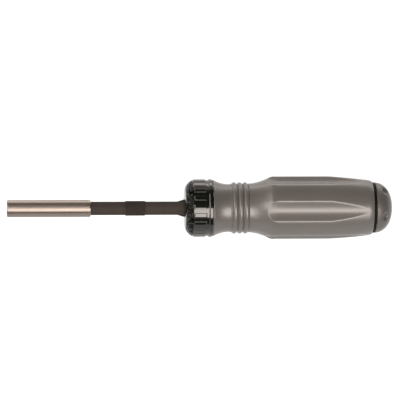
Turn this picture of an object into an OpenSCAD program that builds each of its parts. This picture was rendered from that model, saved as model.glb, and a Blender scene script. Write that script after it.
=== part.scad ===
// Ratcheting screwdriver with a magnetic bit holder, a selector ring and a storage handle.
// The axis is X, from the mouth of the bit socket at the origin towards the end cap.
// Z is up: one flute of the grip faces straight down, so the grip lies on two arrises.

/* [Bit holder] */
// Outer diameter of the bit holder
holder_d = 10.2; // [9:0.1:12]
// Length of the bit holder
holder_len = 49.7; // [40:0.1:70]
// Width across the flats of the bit socket
socket_af = 6.45; // [6.4:0.01:6.6]
// Depth of the bit socket
socket_depth = 12; // [9:0.5:14]
// Diameter of the magnet under the bit
magnet_d = 5.6; // [4:0.1:6]
// Length of the magnet
magnet_len = 5; // [3:0.5:8]
// Diameter of the shank's seat inside the holder
seat_d = 6; // [5:0.1:7]
// Length of the shank's seat inside the holder
seat_len = 24; // [15:0.5:28]

/* [Shank] */
// Diameter of the round shank
shank_d = 8; // [7:0.1:8.8]
// Diameter of the knurled finger band
band_d = 8.8; // [8.8:0.1:10]
// Distance from the socket mouth to the finger band
band_start = 70.1; // [60:0.1:80]
// Length of the finger band
band_len = 12.1; // [8:0.1:18]
// Diameter of the journal that turns in the front bush
journal_d = 10.2; // [9:0.1:11]
// Length of the flare from the shank to the journal
flare_len = 3.6; // [2:0.1:6]
// Length of the journal in front of the selector ring
journal_show = 0.9; // [0.5:0.1:3]
// Length of the journal behind the ratchet gear
tail_len = 13; // [8:0.5:16]

/* [Selector ring] */
// Distance from the socket mouth to the front face of the selector ring
ring_start = 105.7; // [100:0.1:115]
// Length of the selector ring
ring_len = 16.1; // [16:0.1:20]
// Thickness of the selector ring between its ribs
ring_side = 1.85; // [1.7:0.05:2.5]
// Diameter of the flat front face
ring_face_d = 22.4; // [16:0.1:26]
// Length of the rounded front shoulder
shoulder_len = 4.6; // [3:0.1:6]
// Number of grip ribs round the ring
rib_count = 20; // [12:1:30]
// Height of a grip rib
rib_height = 0.35; // [0.2:0.05:0.8]
// Length of the flat top of a grip rib
rib_len = 7.2; // [5:0.1:8]
// Height of the rear collar above the ring
collar_height = 0.55; // [0.4:0.05:1]
// Length of the rear collar
collar_len = 1.4; // [1:0.1:2]
// Turn of the ring from the middle to each end stop, in degrees
select_angle = 24; // [20:1:26]

/* [Ratchet] */
// Diameter over the teeth of the ratchet gear
gear_d = 13.2; // [12.8:0.1:13.6]
// Depth of a tooth
tooth_depth = 1; // [0.8:0.05:1.2]
// Number of teeth
tooth_count = 24; // [24:12:24]
// Length of the ratchet gear
gear_len = 6; // [5:0.1:7]
// Diameter of the pivot pin
pin_d = 2; // [1.6:0.1:2.2]
// Diameter of the detent ball
ball_d = 2.4; // [2:0.1:2.8]
// Diameter of the plunger that tilts the rocker pawl
plunger_d = 2.2; // [1.8:0.1:2.4]

/* [Handle] */
// Gap between the selector ring and the handle
ring_gap = 0.4; // [0.1:0.05:0.5]
// Length of the handle without its cap
handle_len = 95.6; // [90:0.1:110]
// Diameter of the waist behind the front face
waist_d = 28.5; // [27.8:0.1:30]
// Length of the curve from the front face to the waist
front_curve_len = 10; // [6:0.1:10]
// Diameter over the rings on the neck
bead_d = 30.7; // [30:0.1:32]
// Distance between two rings on the neck
bead_pitch = 3.35; // [3:0.05:3.8]
// Number of rings on the neck
bead_count = 3; // [2:1:3]
// Diameter of the floor between the rings
bead_floor_d = 29.2; // [29:0.1:30]
// Diameter of the belly
belly_d = 37.6; // [36:0.1:40]
// Distance from the front face to the belly's full diameter
belly_start = 36.6; // [34:0.1:38]
// Length of the straight part of the belly
belly_len = 32.5; // [20:0.1:40]
// Diameter at the end of the long rear taper
taper_d = 33.6; // [31:0.1:36]
// Length of the rounded rear edge
rear_curve_len = 3.9; // [2:0.1:6]
// Number of flutes
flute_count = 5; // [4:1:6]
// Radius of a flute's hollow
flute_r = 8.4; // [6:0.1:10]
// Distance from the axis to the bottom of a flute
flute_floor_r = 15.5; // [15:0.1:17]
// Radius of a flute's hollow at its rear end
flute_end_r = 7.5; // [7:0.1:8.4]
// Distance from the front face to the place where a flute reaches its full width
flute_start = 37; // [35:0.1:45]
// Radius of the rounded front end of a flute
flute_nose_r = 6; // [4:0.1:7]
// Distance from the front face to the place where a flute starts to narrow
flute_narrow = 70; // [60:0.1:75]
// Length over which a flute narrows
flute_narrow_len = 15; // [5:0.1:20]
// Thickness of the inner tube round the storage bore
storage_wall = 2.4; // [1.6:0.1:4]

/* [End cap] */
// Diameter of the dome at its widest
dome_d = 30.4; // [29.5:0.1:31]
// Distance from the widest point of the dome to its tip
dome_len = 11.7; // [9:0.1:14]
// Length of the plug inside the storage bore
plug_len = 10.7; // [8:0.1:16]
// Section diameter of the sealing ring that shows behind the handle
seal_d = 1.7; // [1.2:0.1:1.8]
// Number of finger dimples
dimple_count = 5; // [3:1:6]
// Diameter of a finger dimple
dimple_d = 6.2; // [4:0.1:7]

/* [Hidden] */
$fn = 96;

// Overrun of every cut past the face it opens
over = 1;
// Radial clearance of a shaft that turns, slides or swings in its seat
run_gap = 0.05;
// Radial gap of a pressed or glued seat
press_gap = 0.01;
// End float between two faces that turn past each other
float_gap = 0.2;
// Free space between moving pieces that never touch
free_gap = 0.3;

// Bit holder
holder_edge = 0.6;
holder_fillet = 0.25;
clip_wire = 0.5;
clip_bite = 0.06;
clip_x = 3;
clip_opening_deg = 40;
hex_corner_share = 2 / sqrt(3);
socket_corner_d = socket_af * hex_corner_share;
seat_start = holder_len - seat_len;

// Shank
band_edge = 0.5;
journal_start = ring_start - journal_show;
flare_start = journal_start - flare_len;

// Radii of the ratchet from the gear outwards: pivot, plunger, nose of the ring, ring
gear_wall = 1.1;
gear_r = gear_d / 2;
root_r = gear_r - tooth_depth;
gear_seat_d = 2 * (root_r - gear_wall);
pivot_gap = 2.9;
pivot_r = gear_r + pivot_gap;
pawl_back = 1.58;
plunger_tip_gap = 0.12;
plunger_tip_r = pivot_r + pawl_back + plunger_tip_gap;
plunger_show = 1;
nose_r = plunger_tip_r + plunger_show;
nose_h = 2.7;
ring_bore_d = 2 * (nose_r + nose_h);

// Selector ring
ring_d = ring_bore_d + 2 * ring_side;
collar_d = ring_d + 2 * collar_height;
ring_wall = 1.6;
ring_face_rim = 0.4;
ring_inner_face_d = ring_face_d + 2 * ring_face_rim;
ring_cone_end = ring_start + ring_wall + (ring_bore_d - ring_inner_face_d) / 2;
ring_end = ring_start + ring_len;
shoulder_power = 1.5;
shoulder_steps = 10;
rib_pitch_deg = 360 / rib_count;
rib_width_deg = rib_pitch_deg / 2;
rib_phase_deg = 8.2;
rib_start = ring_start + shoulder_len + rib_height;
rib_ramp = 1;
rib_root = 0.6;
rib_slope = rib_ramp / (rib_root + rib_height);
rib_crown_r = 4.3;
collar_ramp = 1.5;
clip_ring_len = 1;
clip_ring_w = 1.4;
clip_ring_rear = 1.6;
clip_ring_grip = 0.6;

// Ratchet housing and what it holds
housing_start = ring_start + ring_wall + free_gap;
housing_d = ring_bore_d - 2 * free_gap;
housing_face_d = ring_inner_face_d - 2 * free_gap;
clip_front_wall = 0.6;
bush_clip_len = 1;
bush_clip_grip = 0.6;
bush_clip_w = 1.7;
bush_start = housing_start + clip_front_wall + bush_clip_len;
bush_len = 3;
bush_wall = 2.5;
bush_d = journal_d + 2 * bush_wall;
cavity_start = bush_start + bush_len;
gear_start = cavity_start + float_gap;
gear_end = gear_start + gear_len;
washer_len = 0.8;
cavity_end = gear_end + washer_len + float_gap;
cavity_d = gear_d + 2 * free_gap;
tail_step = 0.5;
tail_d = gear_seat_d - 2 * tail_step;
housing_rear_wall = 2;
drum_end = cavity_end + housing_rear_wall;
rear_bush_wall = 1.4;
rear_bush_d = tail_d + 2 * rear_bush_wall;
rear_bush_len = 12;
spigot_wall = 5;
spigot_d = rear_bush_d + 2 * spigot_wall;
spigot_boss_len = 6;
tail_end = gear_end + tail_len;
tail_bore_end = tail_end + float_gap;
spigot_end = tail_bore_end + spigot_boss_len;
key_count = 4;
key_w = 3;
key_h = 1;
key_len = 9;
key_root = 0.5;

// Teeth of the gear, and toes of the rocker pawl that drop between them
tooth_pitch_deg = 360 / tooth_count;
root_land_share = 0.107;
flank_share = 0.393;
tilt_angle = select_angle / 2;
toe_angle = 2 * tooth_pitch_deg;
toe_gap = 0.2;
toe_tip_w = 0.24;
toe_root_w = 1.2;
toe_len = 1.1;
toe_tip_r = root_r + toe_gap;

// Rocker pawl, from its pivot
pawl_arch_w = 2 * (toe_tip_r + toe_len) * sin(toe_angle) - toe_root_w;
pawl_end = 1.05;
pawl_w = pawl_arch_w + 2 * (toe_root_w + pawl_end);
pawl_bevel = 0.3;
pawl_back_w = pawl_w - 2 * pawl_bevel;
pawl_side_top = 0.8;
pawl_side_bottom = 1.2;
pawl_under = 1.9;
pawl_side_gap = 1.2;
pawl_pocket_w = pawl_w + 2 * pawl_side_gap;
pawl_start = gear_start + float_gap;
pawl_len = gear_len - 2 * float_gap;
pin_grip = 2;
pin_start = cavity_start - pin_grip;
pin_end = drum_end - float_gap;

// Nose of the ring that carries the plunger
mid_x = gear_start + gear_len / 2;
nose_half_deg = 10;
nose_slot_r = nose_r - float_gap;
stop_slack_deg = 0.5;
nose_slot_deg = nose_half_deg + select_angle + stop_slack_deg;
nose_end = cavity_end - free_gap;
nose_root = 0.4;
plunger_len = 3.1;
plunger_back_r = plunger_tip_r + plunger_len;
plunger_pocket_wall = 0.75;
plunger_pocket_end = ring_d / 2 - plunger_pocket_wall;

// Detent ball in the drum, opposite the rocker pawl
ball_lift = 0.35;
ball_r_pos = ring_bore_d / 2 - run_gap - ball_d / 2;
ball_spring_room = 3.25;
ball_pocket_floor = ball_r_pos - ball_d / 2 - ball_spring_room;

// Springs behind the plunger and the ball
spring_wire = 0.3;
spring_gap = 0.02;
spring_rings = 8;
spring_sides = 6;
plunger_spring_d = plunger_d - 2 * run_gap;
plunger_spring_turns = 1.75;
ball_spring_d = ball_d - 4 * run_gap;
ball_spring_turns = 3.25;

// Handle
handle_start = ring_end + ring_gap;
handle_end = handle_start + handle_len;
front_step = 0.2;
front_d = collar_d - 2 * front_step;
lip_power = 2;
lip_steps = 7;
bead_chord = 2.9;
bead_steps = 5;
bead_front = 2.9;
bead_rear = 1.8;
bead_first = handle_start + front_curve_len + bead_front;
bead_last = bead_first + (bead_count - 1) * bead_pitch;
rise_start = bead_last + bead_rear;
rise_power = 1.75;
rise_steps = 8;
rise_corner = 2.4;
corner_share = 0.12;
corner_power = 2;
corner_steps = 4;
belly_x = handle_start + belly_start;
taper_start = belly_x + belly_len;
taper_end = handle_end - rear_curve_len;
taper_power = 1.25;
taper_steps = 8;
rear_step = 0.7;
rear_d = dome_d + 2 * rear_step;
rear_power = 1.7;
rear_steps = 6;
flute_axis_r = flute_floor_r + flute_r;
core_wall = 0.8;
core_d = spigot_d + 2 * (key_h + core_wall);
storage_d = core_d - 2 * storage_wall;
core_web_gap = float_gap;
web_start = spigot_end + core_web_gap;
web_len = 3.8;
web_end = web_start + web_len;
screw_d = 4;
screw_head_d = 7;
screw_head_len = 2.4;
screw_drive_af = 2.5;
screw_drive_depth = 1.4;
screw_bite = 5;
screw_washer_d = 9;
screw_washer_len = 0.8;

// End cap
seal_gap = 0.1;
seal_seat = 0.05;
cap_start = handle_end + seal_gap + seal_d + seal_seat;
plug_flange_gap = 0.2;
seal_sink = 0.05;
plug_flange_d = dome_d - 2 * seal_d - 2 * seal_sink;
plug_head_d = 20;
plug_head_len = 2.5;
plug_slide_gap = 0.1;
plug_d = storage_d - 2 * plug_slide_gap;
plug_wall = 1.8;
plug_floor = 1.6;
plug_ring_section = 1.6;
plug_ring_inset = 6.5;
plug_ring_x = handle_end - plug_ring_inset;
plug_lead = 0.6;
dome_lead = 1.4;
dome_centre = cap_start - dome_lead;
dome_steps = 14;
dome_power = 2.3;
dimple_phase_deg = 16.3;
dimple_r = 5.2;
dimple_place_share = 0.568;
dimple_x = dome_centre + dome_len * dimple_place_share;
dimple_sink = pow(dimple_d / 2, 2) / 2 * (1 / dimple_r + 2 / dome_d);

// Turns a profile of distance from the axis and place along it about the X axis
module turned(angle = 360, start = 0) {
    rotate([0, 90, 0]) rotate([0, 0, start]) rotate_extrude(angle = angle) children();
}

// Turns a profile whose points are written as place along the axis and radius
module lathe(points) {
    turned() polygon([for (p = points) [p[1], p[0]]]);
}

// A solid cylinder on the axis, from one place along it to another
module rod(start, end, d) {
    translate([start, 0, 0]) rotate([0, 90, 0]) cylinder(h = end - start, d = d);
}

// A prism along the axis, of a section drawn with Y to the right and Z up
module section(start, end) {
    translate([start, 0, 0]) rotate([90, 0, 90]) linear_extrude(end - start) children();
}

// Stands its children on a ray that leaves the axis at an angle from straight down
module on_ray(angle, x) {
    translate([x, 0, 0]) rotate([angle, 0, 0]) rotate([180, 0, 0]) children();
}

// Points of a curve, worked out by a share that runs from 0 to 1
function shares(steps) = [for (i = [0 : steps]) i / steps];

// A ring of round section on the axis
module torus(x, centre_r, d) {
    turned() translate([centre_r, x]) circle(d = d);
}

// Route of a spring along Z: flat end turns and even turns between them
function spring_point(share, turns, length, centre_r) =
    [centre_r * cos(360 * turns * share), centre_r * sin(360 * turns * share), length * share];

function spring_route(turns, length, centre_r) =
    let (count = round(turns * spring_rings))
    [for (i = [0 : count]) spring_point(i / count, turns, length, centre_r)];

// Least distance between stretches of the route that lie more than half a turn apart
function spring_clear(route) =
    min([for (i = [0 : len(route) - 1]) for (j = [i + spring_rings - 2 : 1 : len(route) - 1])
        norm(route[i] - route[j])]) - spring_wire;

// A coil spring of round wire along Z, as one unbroken tube
module coil_spring(outer_d, start, end, turns, name) {
    centre_r = (outer_d - spring_wire) / 2;
    base = start + spring_wire / 2 + spring_gap;
    length = end - start - spring_wire - 2 * spring_gap;
    route = spring_route(turns, length, centre_r);
    last = len(route) - 1;
    rise = length / (2 * PI * centre_r * turns);
    points = [for (i = [0 : last])
        let (a = 360 * turns * i / last, out = [cos(a), sin(a), 0],
            side = [sin(a) * rise, -cos(a) * rise, 1] / norm([rise, 1]))
        for (k = [0 : spring_sides - 1])
            let (b = 360 * k / spring_sides)
            route[i] + spring_wire / 2 * (out * cos(b) + side * sin(b))];
    walls = [for (i = [0 : last - 1]) for (k = [0 : spring_sides - 1])
        let (m = (k + 1) % spring_sides, a = i * spring_sides, b = a + spring_sides)
        each [[a + k, b + k, b + m], [a + k, b + m, a + m]]];
    ends = [for (k = [1 : spring_sides - 2])
        each [[0, k, k + 1],
            [last * spring_sides, last * spring_sides + k + 1, last * spring_sides + k]]];
    echo(str(name, ": least gap of the wire to itself in mm"), spring_clear(route));
    translate([0, 0, base]) polyhedron(points = points, faces = concat(walls, ends));
}

module bit_holder() {
    color("#a89488") difference() {
        lathe([[0, 0], [0, holder_d / 2 - holder_edge], [holder_fillet, holder_d / 2 - holder_fillet],
            [holder_edge, holder_d / 2], [holder_len - holder_edge, holder_d / 2],
            [holder_len, holder_d / 2 - holder_edge], [holder_len, 0]]);
        section(-over, socket_depth) rotate(30) circle(d = socket_corner_d, $fn = 6);
        rod(socket_depth - over, socket_depth + magnet_len, magnet_d + 2 * press_gap);
        rod(seat_start, holder_len + over, seat_d + 2 * press_gap);
        torus(clip_x, socket_af / 2 + clip_wire / 2 - clip_bite, clip_wire + 2 * press_gap);
    }
}

module bit_clip() {
    color("#8d8780") turned(angle = 360 - clip_opening_deg, start = clip_opening_deg / 2)
        translate([socket_af / 2 + clip_wire / 2 - clip_bite, clip_x]) circle(d = clip_wire);
}

module bit_magnet() {
    color("#c4c4c0") rod(socket_depth, socket_depth + magnet_len - press_gap, magnet_d);
}

module shank() {
    color("#3d3733") lathe([[seat_start + press_gap, 0], [seat_start + press_gap, seat_d / 2],
        [holder_len + press_gap, seat_d / 2], [holder_len + press_gap, shank_d / 2],
        [band_start, shank_d / 2], [band_start + band_edge, band_d / 2],
        [band_start + band_len - band_edge, band_d / 2], [band_start + band_len, shank_d / 2],
        [flare_start, shank_d / 2], [journal_start, journal_d / 2],
        [gear_start, journal_d / 2], [gear_start, gear_seat_d / 2],
        [gear_end, gear_seat_d / 2], [gear_end, tail_d / 2],
        [tail_end - band_edge, tail_d / 2], [tail_end, tail_d / 2 - band_edge], [tail_end, 0]]);
}

// One tooth space of the gear, by its angle from the middle of the space
function tooth_points(middle) = [
    for (p = [[root_r, -root_land_share], [root_r, root_land_share],
        [gear_r, flank_share], [gear_r, 1 - flank_share]])
    p[0] * [sin(middle + p[1] * tooth_pitch_deg), cos(middle + p[1] * tooth_pitch_deg)]];

module ratchet_gear() {
    color("#77716a") difference() {
        section(gear_start, gear_end)
            polygon([for (k = [0 : tooth_count - 1]) each tooth_points(k * tooth_pitch_deg)]);
        rod(gear_start - over, gear_end + over, gear_seat_d + 2 * press_gap);
    }
}

module thrust_washer() {
    color("#b08d57") difference() {
        rod(gear_end + press_gap, gear_end + washer_len, cavity_d - 2 * free_gap);
        rod(gear_end - over, gear_end + washer_len + over, tail_d + 4 * run_gap);
    }
}

module ratchet_housing() {
    color("#9a9690") difference() {
        union() {
            lathe([[housing_start, 0], [housing_start, housing_face_d / 2],
                [housing_start + (housing_d - housing_face_d) / 2, housing_d / 2],
                [drum_end, housing_d / 2], [drum_end, spigot_d / 2], [spigot_end, spigot_d / 2],
                [spigot_end, 0]]);
            for (k = [0 : key_count - 1]) rotate([360 / key_count * (k + 1 / 2), 0, 0])
                translate([drum_end - key_root, -key_w / 2, 0])
                    cube([key_root + key_len, key_w, spigot_d / 2 + key_h]);
        }
        rod(housing_start - over, cavity_start, bush_d);
        rod(housing_start + clip_front_wall, bush_start, bush_d + 2 * bush_clip_grip);
        rod(cavity_start - over, cavity_end, cavity_d);
        rod(cavity_end - over, tail_bore_end, rear_bush_d);
        rod(tail_bore_end - over, spigot_end + over, screw_d + 2 * press_gap);
        section(cavity_start, cavity_end)
            translate([-pawl_pocket_w / 2, 0]) square([pawl_pocket_w, housing_d]);
        turned(angle = 2 * nose_slot_deg, start = 180 - nose_slot_deg)
            translate([nose_slot_r, housing_start - over])
                square([housing_d, cavity_end - housing_start + over]);
        translate([0, 0, pivot_r]) rod(pin_start, drum_end + over, pin_d + 2 * press_gap);
        on_ray(0, mid_x) translate([0, 0, ball_pocket_floor])
            cylinder(h = housing_d, d = ball_d + 2 * run_gap);
        turned() translate([housing_d / 2 - clip_ring_grip, drum_end - clip_ring_rear])
            square([clip_ring_grip + over, clip_ring_len]);
    }
}

module front_bush() {
    color("#b08d57") difference() {
        rod(bush_start + press_gap, cavity_start, bush_d - 2 * press_gap);
        rod(bush_start - over, cavity_start + over, journal_d + 2 * run_gap);
    }
}

module bush_circlip() {
    color("#55504b") turned(angle = 360 - clip_opening_deg, start = 180 + clip_opening_deg / 2)
        translate([bush_d / 2 + bush_clip_grip - press_gap - bush_clip_w,
            housing_start + clip_front_wall + press_gap])
            square([bush_clip_w, bush_clip_len - 2 * press_gap]);
}

module rear_bush() {
    color("#b08d57") difference() {
        rod(cavity_end, cavity_end + rear_bush_len, rear_bush_d - 2 * press_gap);
        rod(cavity_end - over, cavity_end + rear_bush_len + over, tail_d + 2 * run_gap);
    }
}

// A point of the toe in its tooth space, by its distance out and to the side
function toe_point(out, side) =
    out * [sin(toe_angle), cos(toe_angle)] + side * [cos(toe_angle), -sin(toe_angle)];

// The same point once the rocker pawl has tilted back to the middle
function level(p) =
    let (y = p[0], z = p[1] - pivot_r)
    [y * cos(tilt_angle) - z * sin(tilt_angle), y * sin(tilt_angle) + z * cos(tilt_angle)];

// The half of the rocker pawl on the side of +Y, from its pivot
function pawl_half() = [
    [pawl_back_w / 2, pawl_back], [pawl_w / 2, pawl_side_top], [pawl_w / 2, -pawl_side_bottom],
    level(toe_point(toe_tip_r + toe_len, toe_root_w / 2)),
    level(toe_point(toe_tip_r, toe_tip_w / 2)),
    level(toe_point(toe_tip_r, -toe_tip_w / 2)),
    level(toe_point(toe_tip_r + toe_len, -toe_root_w / 2)),
    [pawl_arch_w / 2, -pawl_under]];

module rocker_pawl() {
    half = pawl_half();
    other_half = [for (i = [len(half) - 1 : -1 : 0]) [-half[i][0], half[i][1]]];
    color("#77716a") translate([0, 0, pivot_r]) section(pawl_start, pawl_start + pawl_len)
        difference() {
            polygon(concat(half, other_half));
            circle(d = pin_d + 2 * run_gap);
        }
}

module pawl_pin() {
    color("#c4c4c0") translate([0, 0, pivot_r]) rod(pin_start + press_gap, pin_end, pin_d);
}

// Front face and rounded shoulder of the selector ring, then its body and rear collar
function ring_outline() = concat(
    [[ring_start, journal_d / 2 + free_gap]],
    [for (s = shares(shoulder_steps)) [
        ring_start + shoulder_len * (1 - pow(cos(90 * s), 2 / shoulder_power)),
        ring_face_d / 2 + (ring_d - ring_face_d) / 2 * pow(sin(90 * s), 2 / shoulder_power)]],
    [[ring_end - collar_len - collar_ramp, ring_d / 2], [ring_end - collar_len, collar_d / 2],
    [ring_end, collar_d / 2], [ring_end, ring_bore_d / 2], [ring_cone_end, ring_bore_d / 2],
    [ring_start + ring_wall, ring_inner_face_d / 2],
    [ring_start + ring_wall, journal_d / 2 + free_gap]]);

// One grip rib: a block with sloped ends, cut to a crown that is round across the rib
module grip_rib(angle) {
    rib_end = rib_start + rib_len;
    top_r = ring_d / 2 + rib_height;
    intersection() {
        turned(angle = rib_width_deg, start = angle - rib_width_deg / 2)
            polygon([[ring_d / 2 - rib_root, rib_start - rib_ramp],
                [top_r + over, rib_start + over * rib_slope], [top_r + over, rib_end - over * rib_slope],
                [ring_d / 2 - rib_root, rib_end + rib_ramp]]);
        on_ray(angle, 0) translate([0, 0, top_r - rib_crown_r])
            rod(rib_start - rib_ramp - over, rib_end + rib_ramp + over, 2 * rib_crown_r);
    }
}

// Section of the nose, which grows from the cone inside the front shoulder
module ring_nose() {
    out_r = ring_bore_d / 2 + nose_root;
    front = ring_cone_end - ring_bore_d / 2;
    polygon([[nose_r, front + nose_r - nose_root], [out_r, front + out_r - nose_root],
        [out_r, nose_end], [nose_r, nose_end]]);
}

module selector_ring() {
    color("#191e18") difference() {
        union() {
            lathe(ring_outline());
            for (k = [0 : rib_count - 1]) grip_rib(rib_phase_deg + k * rib_pitch_deg);
            turned(angle = 2 * nose_half_deg, start = 180 - nose_half_deg) ring_nose();
        }
        on_ray(180, mid_x) translate([0, 0, nose_r - over])
            cylinder(h = plunger_pocket_end - nose_r + over, d = plunger_d + 2 * run_gap);
        for (a = [-select_angle, 0, select_angle])
            on_ray(a, mid_x) translate([0, 0, ball_r_pos + ball_lift])
                sphere(d = ball_d + 2 * run_gap);
        turned() translate([housing_d / 2 - clip_ring_grip, drum_end - clip_ring_rear])
            square([clip_ring_w + 2 * run_gap, clip_ring_len]);
    }
}

module ring_clip() {
    color("#55504b") turned(angle = 360 - clip_opening_deg, start = 180 + clip_opening_deg / 2)
        translate([housing_d / 2 - clip_ring_grip + press_gap,
            drum_end - clip_ring_rear + run_gap])
            square([clip_ring_w - press_gap, clip_ring_len - 2 * run_gap]);
}

module pawl_plunger() {
    color("#c4c4c0") on_ray(180, mid_x) {
        translate([0, 0, plunger_tip_r + plunger_d / 2])
            cylinder(h = plunger_len - plunger_d / 2, d = plunger_d);
        translate([0, 0, plunger_tip_r + plunger_d / 2]) sphere(d = plunger_d);
    }
}

module pawl_spring() {
    color("#8d8780") on_ray(180, mid_x)
        coil_spring(plunger_spring_d, plunger_back_r, plunger_pocket_end,
            plunger_spring_turns, "pawl spring");
}

module detent_ball() {
    color("#c4c4c0") on_ray(0, mid_x) translate([0, 0, ball_r_pos]) sphere(d = ball_d);
}

module detent_spring() {
    color("#8d8780") on_ray(0, mid_x)
        coil_spring(ball_spring_d, ball_pocket_floor, ball_r_pos - ball_d / 2,
            ball_spring_turns, "detent spring");
}

// Outline of one ring on the neck, an arc that stands on the floor between the rings
function bead(middle) =
    let (h = (bead_d - bead_floor_d) / 2, half = bead_chord / 2,
        r = (half * half + h * h) / (2 * h), sweep = asin(half / r))
    [for (s = shares(bead_steps)) let (a = sweep * (2 * s - 1))
        [middle + r * sin(a), bead_d / 2 - r + r * cos(a)]];

// Outline of the grip from its front face to its rear edge
function grip_outline() = concat(
    [for (s = shares(lip_steps)) [handle_start + front_curve_len * s,
        waist_d / 2 + (front_d - waist_d) / 2 * pow(1 - s, lip_power)]],
    [for (k = [0 : bead_count - 1]) each bead(bead_first + k * bead_pitch)],
    [for (s = shares(rise_steps)) [rise_start + (belly_x - rise_corner - rise_start) * s,
        bead_floor_d / 2 + (belly_d - bead_floor_d) / 2 * (1 - corner_share) * pow(s, rise_power)]],
    [for (s = shares(corner_steps)) if (s > 0) [belly_x - rise_corner * (1 - s),
        belly_d / 2 - (belly_d - bead_floor_d) / 2 * corner_share * pow(1 - s, corner_power)]],
    [for (s = shares(taper_steps)) [taper_start + (taper_end - taper_start) * s,
        belly_d / 2 - (belly_d - taper_d) / 2 * pow(s, taper_power)]],
    [for (s = shares(rear_steps)) if (s > 0) [taper_end + rear_curve_len * s,
        taper_d / 2 - (taper_d - rear_d) / 2 * pow(s, rear_power)]]);

// A cutter with a flat front and a rounded edge, which narrows to the rear where the belly tapers
module flute_cutter() {
    full_len = flute_narrow - flute_start;
    rotate_extrude() {
        intersection() {
            translate([flute_r - flute_nose_r, 0]) circle(r = flute_nose_r);
            translate([flute_r - flute_nose_r, -flute_nose_r]) square(flute_nose_r);
        }
        translate([0, -flute_nose_r]) square([flute_r - flute_nose_r, flute_nose_r]);
        polygon([[0, 0], [flute_r, 0], [flute_r, full_len], [flute_end_r, full_len + flute_narrow_len],
            [flute_end_r, handle_len], [0, handle_len]]);
    }
}

module grip_sleeve() {
    color("#7b726e") difference() {
        lathe(concat([[handle_start, core_d / 2 + press_gap]], grip_outline(),
            [[handle_end, core_d / 2 + press_gap]]));
        for (k = [0 : flute_count - 1])
            rotate([360 / flute_count * k, 0, 0])
                translate([handle_start + flute_start, 0, -flute_axis_r]) rotate([0, 90, 0])
                    flute_cutter();
    }
}

module handle_core() {
    color("#35332f") difference() {
        rod(drum_end + press_gap, handle_end, core_d);
        rod(drum_end - over, web_start, spigot_d + 2 * press_gap);
        for (k = [0 : key_count - 1]) rotate([360 / key_count * (k + 1 / 2), 0, 0])
            translate([drum_end - over, -key_w / 2 - press_gap, 0])
                cube([over + key_len + float_gap, key_w + 2 * press_gap,
                    spigot_d / 2 + key_h + press_gap]);
        rod(web_start - over, web_end + over, screw_d + 2 * run_gap);
        rod(web_end, handle_end + over, storage_d);
    }
}

module housing_screw() {
    color("#55504b") difference() {
        union() {
            rod(spigot_end - screw_bite, web_end + screw_washer_len, screw_d);
            rod(web_end + screw_washer_len, web_end + screw_washer_len + screw_head_len,
                screw_head_d);
        }
        section(web_end + screw_washer_len + screw_head_len - screw_drive_depth,
            web_end + screw_washer_len + screw_head_len + over)
            circle(d = screw_drive_af * hex_corner_share, $fn = 6);
    }
}

module screw_washer() {
    color("#c4c4c0") difference() {
        rod(web_end + press_gap, web_end + screw_washer_len - press_gap, screw_washer_d);
        rod(web_end - over, web_end + screw_washer_len + over, screw_d + 2 * run_gap);
    }
}

// Radius of the dome at a place along the axis
function dome_r(x) =
    dome_d / 2 * pow(1 - pow((x - dome_centre) / dome_len, dome_power), 1 / dome_power);

// Outline of the dome, which is a little fuller than an ellipse
function dome_outline() =
    let (first = asin(pow((cap_start - dome_centre) / dome_len, dome_power / 2)))
    [for (s = shares(dome_steps)) let (a = first + (90 - first) * s)
        [dome_centre + dome_len * pow(sin(a), 2 / dome_power), dome_d / 2 * pow(cos(a), 2 / dome_power)]];

module end_cap() {
    out_x = pow((dimple_x - dome_centre) / dome_len, dome_power - 1) / dome_len;
    out_r = pow(dome_r(dimple_x) * 2 / dome_d, dome_power - 1) * 2 / dome_d;
    away = (dimple_r - dimple_sink) / norm([out_x, out_r]);
    color("#726a66") difference() {
        lathe(concat([[cap_start, 0]], dome_outline()));
        rod(cap_start - over, cap_start + plug_head_len + press_gap, plug_head_d + 2 * press_gap);
        for (k = [0 : dimple_count - 1])
            on_ray(dimple_phase_deg + 360 / dimple_count * k, dimple_x + out_x * away)
                translate([0, 0, dome_r(dimple_x) + out_r * away]) sphere(r = dimple_r);
    }
}

module cap_plug() {
    color("#1d1d1b") difference() {
        lathe([[handle_end - plug_len, 0], [handle_end - plug_len, plug_d / 2 - plug_lead],
            [handle_end - plug_len + plug_lead, plug_d / 2],
            [handle_end + plug_flange_gap, plug_d / 2],
            [handle_end + plug_flange_gap, plug_flange_d / 2],
            [cap_start - press_gap, plug_flange_d / 2], [cap_start - press_gap, plug_head_d / 2],
            [cap_start + plug_head_len - press_gap, plug_head_d / 2],
            [cap_start + plug_head_len - press_gap, 0]]);
        rod(handle_end - plug_len - over, handle_end - plug_floor, plug_d - 2 * plug_wall);
        torus(plug_ring_x, storage_d / 2 - run_gap - plug_ring_section / 2,
            plug_ring_section + 2 * press_gap);
    }
}

module plug_ring() {
    color("#141414") torus(plug_ring_x, storage_d / 2 - run_gap - plug_ring_section / 2,
        plug_ring_section);
}

module seal_ring() {
    color("#101210") torus(handle_end + seal_gap + seal_d / 2,
        plug_flange_d / 2 + press_gap + seal_d / 2, seal_d);
}

bit_holder();
bit_clip();
bit_magnet();
shank();
ratchet_gear();
thrust_washer();
ratchet_housing();
front_bush();
bush_circlip();
rear_bush();
rocker_pawl();
pawl_pin();
selector_ring();
ring_clip();
pawl_plunger();
pawl_spring();
detent_ball();
detent_spring();
handle_core();
grip_sleeve();
housing_screw();
screw_washer();
end_cap();
cap_plug();
plug_ring();
seal_ring();
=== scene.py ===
# %% [markdown]
# # A ratcheting screwdriver
#
# The tool lies on a pale floor: a satin steel bit holder, a black shank with a knurled finger band, a
# glossy black selector ring, a grey fluted grip and a domed cap. The construction model comes in first as
# a fixed frame. It has every piece and joint, so the script only adds finer skins, finishes, light and a
# camera.

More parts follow.
